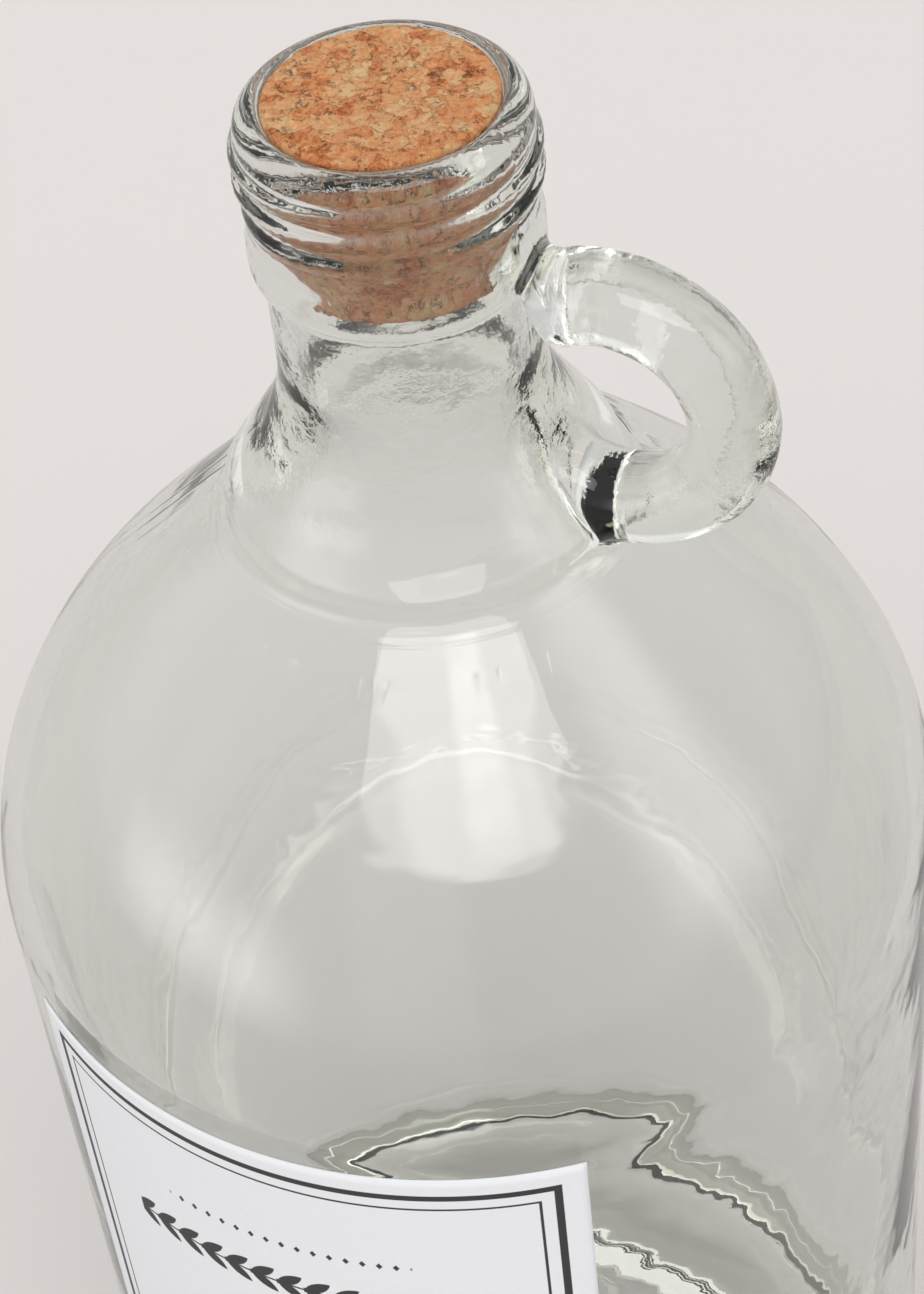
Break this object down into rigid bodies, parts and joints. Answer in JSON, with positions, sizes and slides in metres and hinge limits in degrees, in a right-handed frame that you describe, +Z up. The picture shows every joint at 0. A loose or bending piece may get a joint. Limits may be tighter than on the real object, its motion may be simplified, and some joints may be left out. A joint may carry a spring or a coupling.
{
  "type": "finger-loop glass jug",
  "caption": "Clear glass jug for liquid detergent with a domed shoulder, finger loop on a threaded neck, tapered cork stopper and paper front label.",
  "frame": {"origin": "on the bottle's axis, at the surface that the base rests on", "axes": "+Z up along the bottle's axis, +X through the finger loop, -Y towards the label"},
  "size_m": [0.1368, 0.1374, 0.3125],
  "materials": {
    "glass": "clear flint glass, fire-polished, slightly wavy",
    "cork": "agglomerated cork granules, matte, ground sides",
    "label_paper": "smooth white label paper with a printed double border"
  },
  "bodies": {
    "bottle": {"glass_bottle": "glass", "front_label": "label_paper"},
    "cork": {"cork_stopper": "cork"}
  },
  "joints": [
    {"name": "cork_pull", "type": "slide", "parent": "bottle", "child": "cork", "axis": [0, 0, 1], "range_m": [0, 0.06]}
  ]
}
